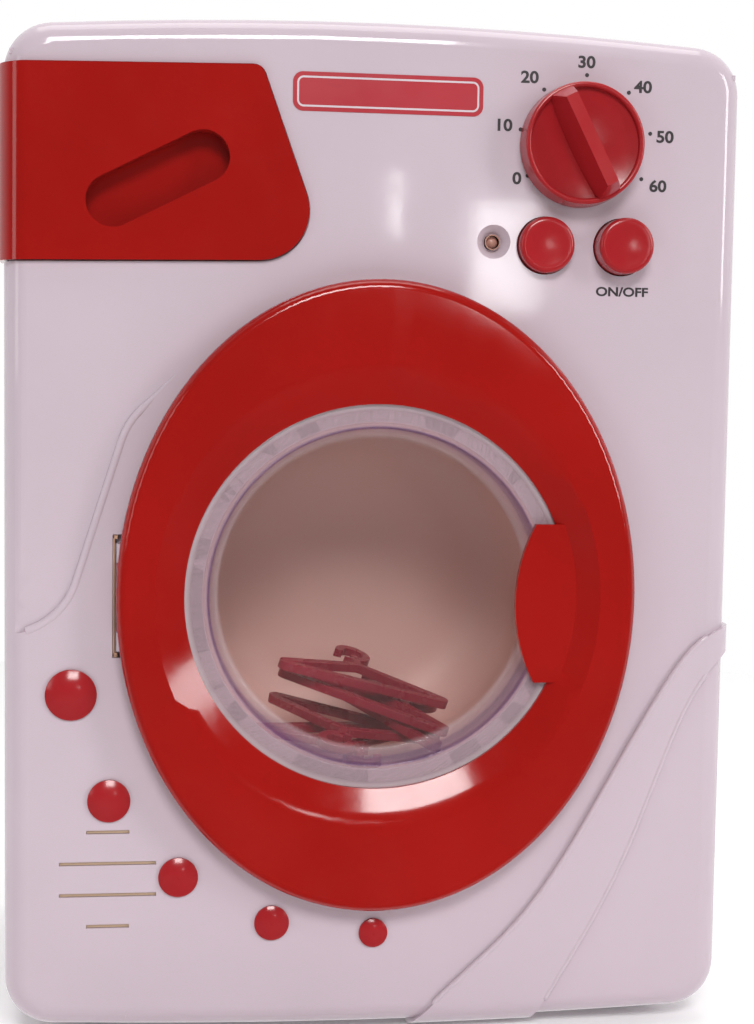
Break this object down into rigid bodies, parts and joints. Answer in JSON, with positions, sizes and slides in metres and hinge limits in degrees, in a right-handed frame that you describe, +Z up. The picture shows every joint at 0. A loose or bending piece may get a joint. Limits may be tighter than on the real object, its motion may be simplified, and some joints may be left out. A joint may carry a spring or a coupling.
{
  "type": "toy washing machine",
  "caption": "Front-loading toy washing machine with a hinged oval door, geared drum, sliding drawer, timer knob and push buttons.",
  "frame": {"origin": "on the floor under the middle of the whole toy, halfway from its frontmost to its rearmost point", "axes": "+Z up, the front with the door looks along -Y, +X to the right as seen from the front"},
  "size_m": [0.1824, 0.13, 0.25],
  "materials": {
    "white_shell": "glossy white moulded plastic",
    "red_shell": "glossy red moulded plastic",
    "red_control": "glossy red moulded plastic",
    "red_toy": "dark red moulded plastic",
    "clear_window": "clear moulded plastic",
    "drum_plastic": "pale warm plastic",
    "tub_plastic": "pale grey plastic",
    "gear_nylon": "natural nylon",
    "gear_brass": "machined brass",
    "steel": "zinc-plated steel",
    "motor_can": "drawn steel can",
    "switch_black": "black plastic",
    "board_green": "solder-masked board",
    "lamp_resin": "diffused resin",
    "speaker_black": "pressed paper and plastic",
    "cell_jacket": "printed steel jacket",
    "foot_rubber": "moulded rubber"
  },
  "bodies": {
    "cabinet": {"front_shell": "white_shell", "rear_shell": "white_shell", "battery_cover": "white_shell", "bubble_1": "red_control", "bubble_2": "red_control", "bubble_3": "red_control", "bubble_4": "red_control", "bubble_5": "red_control", "hanger_1": "red_toy", "hanger_2": "red_toy", "hanger_3": "red_toy", "hanger_4": "red_toy", "hanger_5": "red_toy", "tub": "tub_plastic", "drawer_guide": "tub_plastic", "gear_plate": "tub_plastic", "speaker_clamp": "tub_plastic", "door_catch": "tub_plastic", "drum_bushing": "gear_brass", "idler_axle": "steel", "hinge_pin": "steel", "short_screws": "steel", "plate_screws": "steel", "housing_screws": "steel", "cover_screw": "steel", "battery_contacts": "steel", "motor": "motor_can", "left_button_switch": "switch_black", "on_off_button_switch": "switch_black", "circuit_board": "board_green", "indicator_light": "lamp_resin", "speaker": "speaker_black", "battery_cell_1": "cell_jacket", "battery_cell_2": "cell_jacket", "battery_cell_3": "cell_jacket", "foot_front_left": "foot_rubber", "foot_front_right": "foot_rubber", "foot_rear_left": "foot_rubber", "foot_rear_right": "foot_rubber"},
    "door": {"door_ring": "red_shell", "door_lens": "clear_window", "door_liner": "tub_plastic", "door_screws": "steel"},
    "drawer": {"drawer_front": "red_shell", "drawer_tray": "tub_plastic"},
    "knob": {"timer_knob": "red_control", "knob_retainer": "tub_plastic", "knob_screw": "steel"},
    "left_button": {"left_button_cap": "red_control", "left_button_plunger": "gear_nylon"},
    "on_off_button": {"on_off_button_cap": "red_control", "on_off_button_plunger": "gear_nylon"},
    "drum": {"drum": "drum_plastic", "drum_shaft": "steel", "drum_gear": "gear_nylon", "drum_gear_screw": "steel"},
    "idler": {"idler_gear": "gear_nylon"},
    "motor_rotor": {"motor_pinion": "gear_brass", "motor_shaft": "steel"}
  },
  "joints": [
    {"name": "door_hinge", "type": "hinge", "parent": "cabinet", "child": "door", "pos_m": [-0.0614, -0.0539, 0.1105], "axis": [0, 0, -1], "range_deg": [0, 90]},
    {"name": "drawer_slide", "type": "slide", "parent": "cabinet", "child": "drawer", "axis": [0, -1, 0], "range_m": [0, 0.042]},
    {"name": "timer_turn", "type": "hinge", "parent": "cabinet", "child": "knob", "pos_m": [0.0488, -0.052, 0.2213], "axis": [0, 1, 0], "range_deg": [-93, 147]},
    {"name": "left_button_press", "type": "slide", "parent": "cabinet", "child": "left_button", "axis": [0, 1, 0], "range_m": [0, 0.002], "stiffness_N_per_m": 300, "springref_m": -0.002},
    {"name": "on_off_button_press", "type": "slide", "parent": "cabinet", "child": "on_off_button", "axis": [0, 1, 0], "range_m": [0, 0.002], "stiffness_N_per_m": 300, "springref_m": -0.002},
    {"name": "drum_spin", "type": "hinge", "parent": "cabinet", "child": "drum", "pos_m": [0.0005, 0.015, 0.1105], "axis": [0, 1, 0], "continuous": true},
    {"name": "idler_spin", "type": "hinge", "parent": "cabinet", "child": "idler", "pos_m": [0.0125, 0.029, 0.13128], "axis": [0, 1, 0], "continuous": true},
    {"name": "motor_spin", "type": "hinge", "parent": "cabinet", "child": "motor_rotor", "pos_m": [0.0335, 0.031, 0.13128], "axis": [0, 1, 0], "continuous": true}
  ],
  "couplings": [
    {"joint": "idler_spin", "follows": "drum_spin", "ratio": -3},
    {"joint": "motor_spin", "follows": "drum_spin", "ratio": 9.6}
  ]
}
